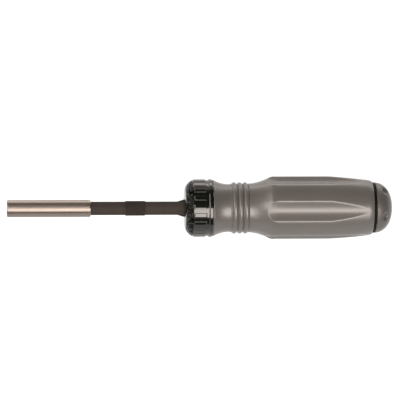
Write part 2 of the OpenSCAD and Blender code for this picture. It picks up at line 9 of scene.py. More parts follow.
# %% load the construction model
import math

import bpy
import bmesh
from mathutils import Matrix, Vector


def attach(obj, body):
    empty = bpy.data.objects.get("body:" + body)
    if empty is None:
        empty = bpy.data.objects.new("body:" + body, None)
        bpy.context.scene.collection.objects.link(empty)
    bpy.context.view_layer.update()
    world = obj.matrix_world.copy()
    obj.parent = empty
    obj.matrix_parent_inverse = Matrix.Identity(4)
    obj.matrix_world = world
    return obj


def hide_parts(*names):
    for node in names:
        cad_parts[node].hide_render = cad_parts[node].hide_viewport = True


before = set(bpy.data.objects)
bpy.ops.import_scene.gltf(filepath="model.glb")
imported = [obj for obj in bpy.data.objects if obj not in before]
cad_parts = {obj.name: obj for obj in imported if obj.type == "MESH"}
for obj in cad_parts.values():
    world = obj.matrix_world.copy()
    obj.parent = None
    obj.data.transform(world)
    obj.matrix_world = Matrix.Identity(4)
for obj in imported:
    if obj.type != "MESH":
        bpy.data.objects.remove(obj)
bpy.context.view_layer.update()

# %% [markdown]
# ## Units and directions
#
# The model is in metres and this tool is small, so sizes are written in millimetres and multiplied by MM.
# The axis of the tool is X. A direction round the axis is an angle from straight down that grows towards
# +Y, because that is how the construction model counts its flutes, ribs and dimples.

# %% millimetres and directions round the axis
MM = 0.001


def around(angle_deg, radius, x):
    """A point at an angle from straight down, a distance from the axis and a place along it, in metres."""
    angle = math.radians(angle_deg)
    return Vector((x, radius * math.sin(angle), -radius * math.cos(angle))) * MM


def angle_of(point):
    """The angle from straight down of a point, in degrees."""
    return math.degrees(math.atan2(point[1], -point[2]))


print("10 mm straight down from the axis is", around(0, 10, 0))

# %% [markdown]
# ## The camera
#
# The photograph is taken with a long lens from far off, so the tool hardly tapers in perspective. The
# camera stands 1.7 m away, about 61 degrees above the horizon, on the near side and a little towards the
# bit end. Its numbers were fitted until the tool's ends and joints fell on the same places as in the
# photograph, and the camera is rolled by a sixth of a degree for that. The aim point lies slightly above
# the axis, which puts the tool a little below the middle of the picture, with no lens shift.

# %% place the camera
LOOK_ANGLE = -150.95
CAMERA_DISTANCE, CAMERA_YAW, CAMERA_ROLL = 1.7, 4.2, -0.17
FRAME_CENTRE_X, FRAME_DROP = 114.9, 4.84
LENS, FARTHEST = 256.7, 100


def turn_to(thing, right, up, back):
    """Turns a camera or a lamp, given the directions of its right side, its top and its back."""
    place = thing.location.copy()
    thing.matrix_world = Matrix((
        (right.x, up.x, back.x, place.x),
        (right.y, up.y, back.y, place.y),
        (right.z, up.z, back.z, place.z),
        (0, 0, 0, 1)))


def place_camera():
    yaw = math.radians(CAMERA_YAW)
    across = around(LOOK_ANGLE, 1 / MM, 0)
    back = Vector((-math.sin(yaw), 0, 0)) + across * math.cos(yaw)
    right = Vector((math.cos(yaw), 0, 0)) + across * math.sin(yaw)
    up = back.cross(right)
    roll = Matrix.Rotation(math.radians(CAMERA_ROLL), 3, back)
    right, up = roll @ right, roll @ up
    aim = Vector((FRAME_CENTRE_X * MM, 0, 0)) + up * FRAME_DROP * MM
    bpy.ops.object.camera_add(location=aim + back * CAMERA_DISTANCE)
    camera = bpy.context.object
    camera.name = "camera"
    turn_to(camera, right, up, back)
    camera.data.lens = LENS
    camera.data.clip_end = FARTHEST
    bpy.context.scene.camera = camera
    return camera


camera = place_camera()
print("camera at", [round(v, 3) for v in camera.location])

# %% [markdown]
# ## Making pieces by hand
#
# A turned piece starts as a flat plate that is merged to one point. The point is extruded along the outline
# of the piece, from place to place, and the outline is spun round the axis. That is how a lathe makes the
# real shank and how a mould for the real grip is turned. The helpers below do these steps, clean the seam
# and print the size of what they made.

# %% helpers for turned pieces
WELD_MM = 0.002


def nothing_selected():
    bpy.ops.object.select_all(action="DESELECT")


def turned_piece(name, outline, steps, start_deg=0):
    """Spins an outline of (place, radius) points in mm round X. It closes on itself or on the axis."""
    nothing_selected()
    bpy.ops.mesh.primitive_plane_add(size=MM, location=(0, 0, 0))
    piece = bpy.context.object
    piece.name = piece.data.name = name
    bpy.ops.object.mode_set(mode="EDIT")
    bpy.ops.mesh.select_all(action="SELECT")
    bpy.ops.mesh.merge(type="CENTER")
    here = around(start_deg, outline[0][1], outline[0][0])
    bpy.ops.transform.translate(value=here)
    for place, radius in outline[1:]:
        there = around(start_deg, radius, place)
        bpy.ops.mesh.extrude_vertices_move(TRANSFORM_OT_translate={"value": there - here})
        here = there
    bpy.ops.mesh.select_all(action="SELECT")
    bpy.ops.mesh.spin(steps=steps, angle=2 * math.pi, center=(0, 0, 0), axis=(1, 0, 0))
    bpy.ops.mesh.select_all(action="SELECT")
    bpy.ops.mesh.remove_doubles(threshold=WELD_MM * MM)
    bpy.ops.mesh.normals_make_consistent(inside=False)
    bpy.ops.object.mode_set(mode="OBJECT")
    return piece


def finish_piece(piece, body, node, smooth_deg=35):
    """Smooths the shading, lets the piece ride on its body and stand for its construction node."""
    nothing_selected()
    piece.select_set(True)
    bpy.context.view_layer.objects.active = piece
    bpy.ops.object.shade_smooth_by_angle(angle=math.radians(smooth_deg))
    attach(piece, body)
    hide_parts(node)
    corners = list(zip(*(vertex.co for vertex in piece.data.vertices)))
    size = [round((max(values) - min(values)) / MM, 2) for values in corners]
    print(piece.name, "faces:", len(piece.data.polygons), "size in mm:", size)


def evenly(first, last, step):
    """Places from first to last, no further apart than step."""
    count = max(1, math.ceil((last - first) / step))
    return [first + (last - first) * i / count for i in range(count + 1)]


def press(piece, new_radius):
    """Moves each point of a turned piece along its ray from the axis, as a forming tool does."""
    for vertex in piece.data.vertices:
        x, y, z = (c / MM for c in vertex.co)
        radius = math.hypot(y, z)
        if radius > 0:
            wanted = new_radius(x, math.degrees(math.atan2(y, -z)), radius)
            vertex.co.y *= wanted / radius
            vertex.co.z *= wanted / radius
    piece.data.update()


# %% [markdown]
# ## The grip
#
# The real grip is moulded over the inner tube. Its form is a turned body: a waist behind the front face,
# a neck with three thin rings and a fine crease on each side of them, a slope up to the belly, the belly,
# and a taper to the rear. The outline below is that form, one stretch after another. Each stretch says
# where it starts and ends, and how close its points lie: close together on the rings, at the fronts of the
# flutes and at the rear edge, and wide apart on the belly.

# %% outline of the grip
GRIP_FRONT, GRIP_END, CORE_R = 122.2, 217.8, 12.21
FRONT_R, WAIST_R, WAIST_LEN = 17.1, 14.25, 10.0
BEADS, BEAD_R, BEAD_FLOOR_R, BEAD_HALF, BEAD_PITCH, BEAD_FIRST = 3, 15.35, 14.6, 1.45, 3.35, 135.1
CREASE_DEPTH, CREASE_HALF = 0.3, 0.35
RISE_START, RISE_CORNER, RISE_SHARE, RISE_POWER = 143.6, 2.4, 0.88, 1.75
BELLY_R, BELLY_X, TAPER_X, TAPER_END, TAPER_R, TAPER_POWER = 18.8, 158.8, 191.3, 213.9, 16.8, 1.25
REAR_R, REAR_POWER, EDGE_ROUND = 15.9, 1.7, 0.35


def crease(x):
    """Depth of the fine creases that part the thin rings on the neck."""
    away = min(abs(abs(x - BEAD_FIRST - k * BEAD_PITCH) - BEAD_HALF) for k in range(BEADS))
    return CREASE_DEPTH * max(0.0, 1 - away / CREASE_HALF)


def grip_radius(x):
    """Radius of the grip's turned body at a place along it."""
    if x <= GRIP_FRONT + WAIST_LEN:
        return WAIST_R + (FRONT_R - WAIST_R) * (1 - (x - GRIP_FRONT) / WAIST_LEN) ** 2
    if x < RISE_START:
        for k in range(BEADS):
            away = x - (BEAD_FIRST + k * BEAD_PITCH)
            if abs(away) < BEAD_HALF:
                height = BEAD_R - BEAD_FLOOR_R
                arc = (BEAD_HALF ** 2 + height ** 2) / (2 * height)
                return BEAD_R - arc + math.sqrt(arc ** 2 - away ** 2) - crease(x)
        neck = (x - GRIP_FRONT - WAIST_LEN) / (BEAD_FIRST - BEAD_HALF - GRIP_FRONT - WAIST_LEN)
        return WAIST_R + (BEAD_FLOOR_R - WAIST_R) * min(1, neck) - crease(x)
    if x < BELLY_X - RISE_CORNER:
        share = (x - RISE_START) / (BELLY_X - RISE_CORNER - RISE_START)
        return BEAD_FLOOR_R + (BELLY_R - BEAD_FLOOR_R) * RISE_SHARE * share ** RISE_POWER
    if x < BELLY_X:
        corner = ((BELLY_X - x) / RISE_CORNER) ** 2
        return BELLY_R - (BELLY_R - BEAD_FLOOR_R) * (1 - RISE_SHARE) * corner
    if x < TAPER_X:
        return BELLY_R
    if x < TAPER_END:
        return BELLY_R - (BELLY_R - TAPER_R) * ((x - TAPER_X) / (TAPER_END - TAPER_X)) ** TAPER_POWER
    return TAPER_R - (TAPER_R - REAR_R) * ((x - TAPER_END) / (GRIP_END - TAPER_END)) ** REAR_POWER


STRETCHES = ((GRIP_FRONT, 132.8, 0.5), (133.0, RISE_START, 0.14), (144.0, 153.4, 0.6),
             (153.6, 161.0, 0.15), (162.0, TAPER_X, 2.2), (192.0, 210.0, 0.8),
             (210.3, GRIP_END - EDGE_ROUND, 0.3))
places = [x for first, last, step in STRETCHES for x in evenly(first, last, step)]
rear_r = grip_radius(GRIP_END)
grip_outline = [(GRIP_FRONT, CORE_R), (GRIP_FRONT, FRONT_R - EDGE_ROUND)]
grip_outline += [(x, grip_radius(x)) for x in places if x >= GRIP_FRONT + EDGE_ROUND * 0.6]
grip_outline += [(GRIP_END - EDGE_ROUND * 0.3, rear_r - EDGE_ROUND * 0.15),
                 (GRIP_END, rear_r - EDGE_ROUND), (GRIP_END, CORE_R), (GRIP_FRONT, CORE_R)]
print("points on the outline:", len(grip_outline))

# %% [markdown]
# Five hollow flutes run along the belly. Each is a shallow trough with two flat flanks and a rounded
# bottom. It starts at a half-round nose with a steep low rim, where its floor rises a little, and runs out
# to a point where the taper comes down to its floor. A cutter of that form could be taken away with a
# Boolean, but the cut would leave slivers where the flutes run out, and its edges could not be rounded
# cleanly. So the turned body is pressed instead: each point moves in to the surface of the nearest flute,
# and where flute and belly meet, a soft minimum rounds the edge as the mould does.

# %% the form of a flute
FLUTES, FLUTE_FLOOR, FLANK_SLOPE, BOTTOM_ROUND = 5, 16.18, 0.43, 2.8
FLUTE_TIP, FLUTE_NOSE, RIM_SLOPE, RIM_ROUND = 153.9, 5.9, 2.5, 0.6
FRONT_LIFT, LIFT_LEN, REAR_LIFT = 0.8, 10.0, 0.55
NARROW_START, NARROW_LEN, NARROW_POWER = 192.2, 24.0, 0.8
ARRIS_ROUND, TIP_ROUND, BORE_SKIN, NOSE_CLEAR = 0.45, 0.25, 0.5, 1
FLUTE_STEP = 360 / FLUTES


def soft_min(one, other, width):
    """The lower of two heights, with the crease between them rounded over a width."""
    near = max(0.0, width - abs(one - other)) / width
    return min(one, other) - near * near * width / 4


def narrowing(x):
    """0 along most of a flute, then rising to 1 at its rear end."""
    return min(1, max(0, (x - NARROW_START) / NARROW_LEN)) ** NARROW_POWER


def trough_radius(x, side, out, radius):
    """Distance from the axis to a flute's flanks and bottom, whose section is a hyperbola."""
    to_front = min(1, max(0, 1 - (x - FLUTE_TIP) / LIFT_LEN))
    lift = FRONT_LIFT * to_front ** 2 * max(0, 1 - (radius * side / FLUTE_NOSE) ** 2)
    sag = FLANK_SLOPE * BOTTOM_ROUND
    bottom = FLUTE_FLOOR + lift + REAR_LIFT * narrowing(x) - sag
    flatness = out ** 2 - (FLANK_SLOPE * side) ** 2
    root = (out * bottom) ** 2 - flatness * (bottom ** 2 - sag ** 2)
    return (out * bottom + math.sqrt(root)) / flatness


def flute_radius(x, angle, radius):
    """Distance from the axis to the hollow of the nearest flute, with the rim round its nose."""
    off = math.radians((angle + FLUTE_STEP / 2) % FLUTE_STEP - FLUTE_STEP / 2)
    side, out = math.sin(off), math.cos(off)
    hollow = trough_radius(x, side, out, radius)
    before = FLUTE_TIP + FLUTE_NOSE - x
    if before > 0:
        inside = FLUTE_NOSE - math.hypot(before, radius * side)
        hollow = -soft_min(-hollow, -(radius - RIM_SLOPE * inside), RIM_ROUND)
    return hollow


def fluted(x, angle, radius):
    """The pressed radius of a point of the grip. The bore and all in front of the flutes stay."""
    if radius < CORE_R + BORE_SKIN or x < FLUTE_TIP - NOSE_CLEAR:
        return radius
    arris = ARRIS_ROUND + (TIP_ROUND - ARRIS_ROUND) * narrowing(x)
    return soft_min(flute_radius(x, angle, radius), radius, arris)


print("belly and flute floor, radius in mm:", BELLY_R, round(fluted(TAPER_X, 0, BELLY_R), 2))

# %% turn the grip and press its flutes
GRIP_STEPS = 400

grip = turned_piece("grip_skin", grip_outline, GRIP_STEPS)
press(grip, fluted)
finish_piece(grip, "handle", "grip_sleeve")

# %% [markdown]
# ## The selector ring
#
# The real ring is moulded in a hard glossy plastic. Twenty grip ribs stand on it in front of a low collar.
# The ring is turned with eight faces to each rib and gap, and its seam is turned to the edge of a rib, so
# the ribs are whole faces. A groove inside leaves room for the plunger and the ball.

# %% turn the ring
RING_FRONT, RING_LEN, RING_R, RING_FACE_R, SHOULDER = 105.7, 16.1, 16.75, 11.2, 4.6
RING_END = RING_FRONT + RING_LEN
SHOULDER_POINTS, SHOULDER_POWER, EDGE = 16, 4 / 3, 0.2
RIBS, RIB_WIDTH_DEG, RIB_FIRST, RIB_START, RIB_END, RIB_HEIGHT = 20, 9, 8.2, 110.65, 117.85, 0.35
RIB_STEP, RIB_MARGIN, FACES_PER_RIB = 360 / RIBS, 0.15, 8
COLLAR_R, COLLAR_LEN, COLLAR_RAMP = 17.3, 1.9, 0.5
BORE_R, WALL, JOURNAL_HOLE_R, INNER_FACE_R, CONE_END = 14.9, 1.6, 5.4, 11.6, 110.6
GROOVE_START, GROOVE_END, GROOVE_R = 113.9, 116.9, 16.05


def shoulder_point(share):
    """A point of the ring's rounded front, from its flat face at 0 to its full width at 1."""
    turn = math.radians(90 * share)
    return (RING_FRONT + SHOULDER * (1 - math.cos(turn) ** SHOULDER_POWER),
            RING_FACE_R + (RING_R - RING_FACE_R) * math.sin(turn) ** SHOULDER_POWER)


ring_outline = [(RING_FRONT + WALL, JOURNAL_HOLE_R), (RING_FRONT + EDGE, JOURNAL_HOLE_R),
                (RING_FRONT, JOURNAL_HOLE_R + EDGE)]
ring_outline += [shoulder_point(i / SHOULDER_POINTS) for i in range(SHOULDER_POINTS + 1)]
ring_outline += [(RIB_START - RIB_MARGIN, RING_R), (RIB_END + RIB_MARGIN, RING_R),
                 (RING_END - COLLAR_LEN - COLLAR_RAMP, RING_R), (RING_END - COLLAR_LEN, COLLAR_R),
                 (RING_END - EDGE, COLLAR_R), (RING_END, COLLAR_R - EDGE), (RING_END, BORE_R),
                 (GROOVE_END, BORE_R), (GROOVE_END, GROOVE_R),
                 (GROOVE_START, GROOVE_R), (GROOVE_START, BORE_R),
                 (CONE_END, BORE_R), (RING_FRONT + WALL, INNER_FACE_R), (RING_FRONT + WALL, JOURNAL_HOLE_R)]
ring = turned_piece("ring_shell", ring_outline, RIBS * FACES_PER_RIB, RIB_FIRST - RIB_WIDTH_DEG / 2)
print("points on the outline:", len(ring_outline))

# %% [markdown]
# The faces under the ribs are picked by their place, lifted, and pulled in at both ends so that the ends
# slope. A small bevel then rounds all edges, and the edges catch the light as moulded ones do.

# %% raise the ribs
RIB_SLOPE, EDGE_BEVEL, BEVEL_SEGMENTS, BEVEL_FROM_DEG, RING_SMOOTH_DEG = 0.4, 0.16, 3, 30, 40
PICK_BEYOND, PICK_DEPTH, PICK_NEAR = 0.2, 0.5, 0.3


def on_rib(face):
    """True for a face of the band between the shoulder and the collar that lies under a rib."""
    centre = face.calc_center_median() / MM
    off = (angle_of(centre) - RIB_FIRST + RIB_STEP / 2) % RIB_STEP - RIB_STEP / 2
    return (RIB_START - PICK_BEYOND < centre.x < RIB_END + PICK_BEYOND and abs(off) < RIB_WIDTH_DEG / 2
            and math.hypot(centre.y, centre.z) > RING_R - PICK_DEPTH)


bpy.ops.object.mode_set(mode="EDIT")
bpy.ops.mesh.select_all(action="DESELECT")
sheet = bmesh.from_edit_mesh(ring.data)
for face in sheet.faces:
    face.select_set(on_rib(face))
bmesh.update_edit_mesh(ring.data)
bpy.ops.mesh.extrude_region_shrink_fatten(TRANSFORM_OT_shrink_fatten={"value": RIB_HEIGHT * MM})
for end, slope in ((RIB_START, RIB_SLOPE), (RIB_END, -RIB_SLOPE)):
    bpy.ops.mesh.select_all(action="DESELECT")
    sheet = bmesh.from_edit_mesh(ring.data)
    for vertex in sheet.verts:
        far_out = math.hypot(vertex.co.y, vertex.co.z) / MM > RING_R + RIB_HEIGHT / 2
        vertex.select_set(far_out and abs(vertex.co.x / MM - end) < PICK_NEAR)
    sheet.select_flush(True)
    bmesh.update_edit_mesh(ring.data)
    bpy.ops.transform.translate(value=(slope * MM, 0, 0))
bpy.ops.object.mode_set(mode="OBJECT")
rounding = ring.modifiers.new("edges", "BEVEL")
rounding.width = EDGE_BEVEL * MM
rounding.segments = BEVEL_SEGMENTS
rounding.limit_method = "ANGLE"
rounding.angle_limit = math.radians(BEVEL_FROM_DEG)
bpy.ops.object.modifier_apply(modifier="edges")
finish_piece(ring, "selector", "selector_ring", RING_SMOOTH_DEG)

# %% [markdown]
# ## The shank
#
# The shank is turned from steel bar. From the front it has a thin seat inside the bit holder, the bare
# shaft, a finger band, a flare, a journal, the seat of the gear and a tail that runs in the rear bush. A
# knurling wheel rolls a fine diamond pattern into the band, so the band is turned with many small faces,
# and its points are pressed in along two sets of crossing spiral grooves.

# %% outline of the shank
SHANK_R, SEAT_R, SEAT_START, HOLDER_END, CHAMFER = 4.0, 3, 25.71, 49.71, 0.15
BAND_R, BAND_START, BAND_LEN, BAND_ROW = 4.4, 70.1, 12.1, 0.12
BAND_END = BAND_START + BAND_LEN
BAND_FOOT, BAND_EDGE, BAND_EDGE_DROP, BAND_FLAT = 0.05, 0.35, 0.1, 0.5
FLARE_START, FLARE_LEN, FLARE_RISE = 101.2, 2.6, 0.85
FLARE_SOFT, FLARE_FOOT_LOW, FLARE_FOOT_HIGH = 0.3, 0.06, 0.15
JOURNAL_START, JOURNAL_R, JOURNAL_SOFT, JOURNAL_DROP = 104.8, 5.1, 0.1, 0.02
GEAR_START, GEAR_END, GEAR_SEAT_R, TAIL_R, TAIL_END, TAIL_EDGE = 112.4, 118.4, 4.5, 4.0, 131.4, 0.5

shank_outline = [(SEAT_START, 0), (SEAT_START, SEAT_R), (HOLDER_END, SEAT_R),
                 (HOLDER_END, SHANK_R - CHAMFER), (HOLDER_END + CHAMFER, SHANK_R),
                 (BAND_START - BAND_FOOT, SHANK_R), (BAND_START + BAND_EDGE, BAND_R - BAND_EDGE_DROP)]
shank_outline += [(x, BAND_R) for x in evenly(BAND_START + BAND_FLAT, BAND_END - BAND_FLAT, BAND_ROW)]
shank_outline += [(BAND_END - BAND_EDGE, BAND_R - BAND_EDGE_DROP), (BAND_END + BAND_FOOT, SHANK_R),
                  (FLARE_START - FLARE_SOFT, SHANK_R), (FLARE_START + FLARE_SOFT, SHANK_R + FLARE_FOOT_LOW)]
shank_outline += [(FLARE_START + 2 * FLARE_SOFT + FLARE_LEN * share,
                   SHANK_R + FLARE_FOOT_HIGH + FLARE_RISE * share) for share in (0, 0.25, 0.5, 0.75, 1)]
shank_outline += [(JOURNAL_START - JOURNAL_SOFT, JOURNAL_R - JOURNAL_DROP),
                  (JOURNAL_START + 2 * JOURNAL_SOFT, JOURNAL_R),
                  (GEAR_START, JOURNAL_R), (GEAR_START, GEAR_SEAT_R), (GEAR_END, GEAR_SEAT_R),
                  (GEAR_END, TAIL_R), (TAIL_END - TAIL_EDGE, TAIL_R), (TAIL_END, TAIL_R - TAIL_EDGE),
                  (TAIL_END, 0)]
print("points on the outline:", len(shank_outline))

# %% turn the shank and knurl its band
KNURLS, KNURL_DEPTH, KNURL_PITCH, KNURL_SHARPNESS = 24, 0.16, 1.15, 8
STEPS_PER_KNURL, KNURL_SKIN = 12, 0.05


def knurled(x, angle, radius):
    """The pressed radius of a point of the finger band: two sets of grooves that cross."""
    if radius < BAND_R - KNURL_SKIN:
        return radius
    turn = math.radians(angle) * KNURLS
    wave = 2 * math.pi * x / KNURL_PITCH
    one = abs(math.cos((turn + wave) / 2)) ** KNURL_SHARPNESS
    two = abs(math.cos((turn - wave) / 2)) ** KNURL_SHARPNESS
    return radius - KNURL_DEPTH * max(one, two)


shank = turned_piece("shank_bar", shank_outline, KNURLS * STEPS_PER_KNURL)
press(shank, knurled)
finish_piece(shank, "shaft", "shank")

# %% [markdown]
# ## The end cap
#
# The cap is a moulded dome with five round finger dimples. Its outline is a superellipse, a little fuller
# than a half ellipse. The dome is turned with fine faces, and then each dimple is pressed with a ball
# that comes straight at the surface: deepest at its centre, and rounded at its rim.

# %% outline of the cap
CAP_START, DOME_CENTRE, DOME_R, DOME_LEN, DOME_POWER = 219.65, 218.25, 15.2, 11.7, 2.3
HEAD_R, HEAD_LEN, CAP_EDGE, DOME_POINTS, CAP_STEPS = 10.01, 2.51, 0.25, 90, 360


def dome_radius(x):
    """Radius of the dome at a place along it."""
    return DOME_R * (1 - ((x - DOME_CENTRE) / DOME_LEN) ** DOME_POWER) ** (1 / DOME_POWER)


first_turn = math.asin(((CAP_START - DOME_CENTRE) / DOME_LEN) ** (DOME_POWER / 2))
dome_turns = [first_turn + (math.pi / 2 - first_turn) * (i / DOME_POINTS) for i in range(DOME_POINTS + 1)]
cap_outline = [(CAP_START + HEAD_LEN, 0), (CAP_START + HEAD_LEN, HEAD_R), (CAP_START, HEAD_R),
               (CAP_START, dome_radius(CAP_START) - CAP_EDGE)]
cap_outline += [(DOME_CENTRE + DOME_LEN * math.sin(turn) ** (2 / DOME_POWER),
                 DOME_R * math.cos(turn) ** (2 / DOME_POWER)) for turn in dome_turns[1:-1]]
cap_outline += [(DOME_CENTRE + DOME_LEN, 0)]
print("points on the outline:", len(cap_outline))

# %% turn the cap and press its dimples
DIMPLES, DIMPLE_FIRST, DIMPLE_X = 5, 16.3, 224.9
DIMPLE_BALL, DIMPLE_SINK, LIP_ROUND = 4.2, 1.35, 0.25
RIM_MARGIN, MIDDLE_R = 0.1, 1


def ball_centre(angle):
    """Centre of the ball that presses a dimple: straight out from the dome's surface."""
    radius = dome_radius(DIMPLE_X)
    out = Vector((((DIMPLE_X - DOME_CENTRE) / DOME_LEN) ** (DOME_POWER - 1) / DOME_LEN,
                  (radius / DOME_R) ** (DOME_POWER - 1) / DOME_R)).normalized()
    away = DIMPLE_BALL - DIMPLE_SINK
    return around(angle, radius + out.y * away, DIMPLE_X + out.x * away) / MM


def press_dimple(piece, centre):
    """Pushes the dome's points in or near a ball away from its centre. Back and middle stay."""
    for vertex in piece.data.vertices:
        point = vertex.co / MM
        if point.x < CAP_START + RIM_MARGIN or math.hypot(point.y, point.z) < MIDDLE_R:
            continue
        short = DIMPLE_BALL - (point - centre).length
        if short > -2 * LIP_ROUND:
            soft = max(0.0, 1 - abs(short) / (2 * LIP_ROUND))
            push = max(short, 0) + soft * soft * LIP_ROUND / 2
            vertex.co = (point + (point - centre).normalized() * push) * MM
    piece.data.update()


cap = turned_piece("cap_dome", cap_outline, CAP_STEPS)
for k in range(DIMPLES):
    press_dimple(cap, ball_centre(DIMPLE_FIRST + 360 / DIMPLES * k))
finish_piece(cap, "cap", "end_cap")

# %% [markdown]
# ## Colours and node helpers
#
# Colours are read from the photograph as hex values in sRGB and turned to the linear values that shaders
# need. Each finish is one material with one shader. Its pattern comes from noise or cell textures on
# Object coordinates, which are metres, so a pattern's scale is one over its size in metres.

# %% helpers for materials
def linear(hex_colour):
    channels = [int(hex_colour[i:i + 2], 16) / 255 for i in (1, 3, 5)]
    return [c / 12.92 if c <= 0.04045 else ((c + 0.055) / 1.055) ** 2.4 for c in channels] + [1]


def add_node(material, kind, settings=None, links=None):
    """Adds a node. Settings are socket values (by name or number) or properties, links {socket: output}."""
    node = material.node_tree.nodes.new(kind)
    for key, value in (settings or {}).items():
        if isinstance(key, int) or key in node.inputs:
            node.inputs[key].default_value = value
        else:
            setattr(node, key, value)
    for key, output in (links or {}).items():
        join(material, output, node.inputs[key])
    return node


def join(material, output, socket):
    material.node_tree.links.new(output, socket)


def new_finish(name):
    """A material with a place for patterns and a shader, without settings yet."""
    material = bpy.data.materials.new(name)
    material.use_nodes = True
    shader = material.node_tree.nodes["Principled BSDF"]
    place = add_node(material, "ShaderNodeTexCoord").outputs["Object"]
    return material, shader, place


def noise(material, place, size_mm, detail):
    """A cloudy pattern from 0 to 1, with clouds of about the given size."""
    settings = {"Scale": 1 / (size_mm * MM), "Detail": detail}
    return add_node(material, "ShaderNodeTexNoise", settings, {"Vector": place}).outputs["Fac"]


def between(material, factor, low, high):
    """A colour that runs from one hex value to another as a factor goes from 0 to 1."""
    mix = add_node(material, "ShaderNodeMix", {"data_type": "RGBA"}, {0: factor})
    mix.inputs[6].default_value = linear(low)
    mix.inputs[7].default_value = linear(high)
    return mix.outputs[2]


def bump(material, shader, height, strength, depth_mm):
    settings = {"Strength": strength, "Distance": depth_mm * MM}
    node = add_node(material, "ShaderNodeBump", settings, {"Height": height})
    join(material, node.outputs["Normal"], shader.inputs["Normal"])


def spread(material, value, low, high):
    """A number that runs from low to high as the value goes from 0 to 1."""
    node = add_node(material, "ShaderNodeMapRange", {"To Min": low, "To Max": high}, {"Value": value})
    return node.outputs["Result"]


def times(material, one, other):
    node = add_node(material, "ShaderNodeMath", {"operation": "MULTIPLY"}, {0: one, 1: other})
    return node.outputs["Value"]


def along(material, place, start, end):
    """A number that goes from 0 to 1 between two places along the tool, in mm."""
    parts = add_node(material, "ShaderNodeSeparateXYZ", None, {"Vector": place})
    node = add_node(material, "ShaderNodeMapRange", {"From Min": start * MM, "From Max": end * MM},
                    {"Value": parts.outputs["X"]})
    return node.outputs["Result"]


print("middle grey in linear values:", [round(c, 3) for c in linear("#808080")])

# %% [markdown]
# ## The finishes
#
# Grip, cap and inner tube: a filled nylon, moulded in a tool with a fine spark-eroded grain of about
# 0.4 mm. The grain spreads every highlight to a satin one, and a little sheen lightens the edges, as the
# rubbed skin of a used handle does. The cap is a shade darker and duller than the grip.

# %% satin grey plastic
CLOUD_MM, GRAIN_DEPTH, UNEVENNESS = 14, 0.02, 0.05


def satin_plastic(name, light, dark, roughness, grain_mm):
    """A grained plastic. Faint clouds run from dark to light, and the grain makes the gloss uneven."""
    material, shader, place = new_finish(name)
    cloud = noise(material, place, CLOUD_MM, detail=3.0)
    join(material, between(material, cloud, dark, light), shader.inputs["Base Color"])
    grain = noise(material, place, grain_mm, detail=2.0)
    join(material, spread(material, grain, roughness - UNEVENNESS, roughness + UNEVENNESS),
         shader.inputs["Roughness"])
    bump(material, shader, grain, strength=0.35, depth_mm=GRAIN_DEPTH)
    shader.inputs["IOR"].default_value = 1.5
    shader.inputs["Sheen Weight"].default_value = 0.2
    shader.inputs["Sheen Roughness"].default_value = 0.3
    return material


grip_plastic = satin_plastic("moulded_nylon_grip", "#454341", "#3e3c3a", roughness=0.35, grain_mm=0.4)
cap_plastic = satin_plastic("moulded_nylon_cap", "#3d3b39", "#373533", roughness=0.44, grain_mm=0.4)
core_plastic = satin_plastic("moulded_nylon_core", "#2b2927", "#232120", roughness=0.42, grain_mm=0.5)
print("plastics:", grip_plastic.name, cap_plastic.name, core_plastic.name)

# %% [markdown]
# Selector ring: hard glossy black plastic. A polished mould leaves it almost smooth, with faint waves a few
# millimetres long, so it mirrors the lamps sharply and is black elsewhere. Its shoulder has a fine raised
# stipple. The real dots are too fine to show in a small picture, so they are drawn coarser than real,
# 1.2 mm apart. The ground between the dots hardly shines, which makes each dot a spark of light.

# %% glossy black plastic
WAVE_MM, STIPPLE_MM, WAVE_SHARE, STIPPLE_DEPTH = 5, 1.2, 0.04, 0.25
DOT_EDGE, DOT_TOP, DOT_GLOSS, GROUND_GLOSS = 0.45, 0.05, 0.6, 0.04
STIPPLE_START, STIPPLE_FULL, STIPPLE_FADE = 0.2, 0.5, 0.6


def glossy_black():
    material, shader, place = new_finish("polished_black_plastic")
    wave = noise(material, place, WAVE_MM, detail=1.0)
    join(material, between(material, wave, "#040503", "#080a07"), shader.inputs["Base Color"])
    join(material, spread(material, wave, 0.1, 0.15), shader.inputs["Roughness"])
    grains = add_node(material, "ShaderNodeTexVoronoi", {"Scale": 1 / (STIPPLE_MM * MM)}, {"Vector": place})
    dots = add_node(material, "ShaderNodeMapRange", {"From Min": DOT_EDGE, "From Max": DOT_TOP},
                    {"Value": grains.outputs["Distance"]}).outputs["Result"]
    behind_face = along(material, place, RING_FRONT + STIPPLE_START, RING_FRONT + STIPPLE_FULL)
    before_ribs = along(material, place, RIB_START, RING_FRONT + SHOULDER - STIPPLE_FADE)
    on_shoulder = times(material, behind_face, before_ribs)
    ground = times(material, on_shoulder, spread(material, dots, 1, 0))
    join(material, spread(material, ground, DOT_GLOSS, GROUND_GLOSS), shader.inputs["Specular IOR Level"])
    height = add_node(material, "ShaderNodeMath", {"operation": "MULTIPLY_ADD", 1: WAVE_SHARE},
                      {0: wave, 2: times(material, dots, on_shoulder)})
    bump(material, shader, height.outputs["Value"], strength=1.0, depth_mm=STIPPLE_DEPTH)
    shader.inputs["IOR"].default_value = 1.43
    return material


ring_plastic = glossy_black()
print("ring:", ring_plastic.name)

# %% [markdown]
# Metals. The bit holder is stainless steel, turned and brushed on a lathe, so its fine scratches run round
# the axis. They are too fine to be seen one by one, but they stretch each reflection along the tool. The
# wire of the springs and snap rings is drawn, which leaves a plain dull shine. The hardened gear and pawl
# are a darker grey. Pins, the plunger and the ball are ground, so they are bright, and so is the nickel on
# the magnet. Sintered bronze is matt and brown, and the die-cast housing has a pale matt skin. Each
# pattern is a noise squeezed along X: its lines run round the axis. For the holder, the tangent node gives
# the direction round the axis, and a quarter turn of it stretches the shine along the tool.

# %% turned metals
LINE_LEN_MM, QUARTER_TURN = 6, 0.25


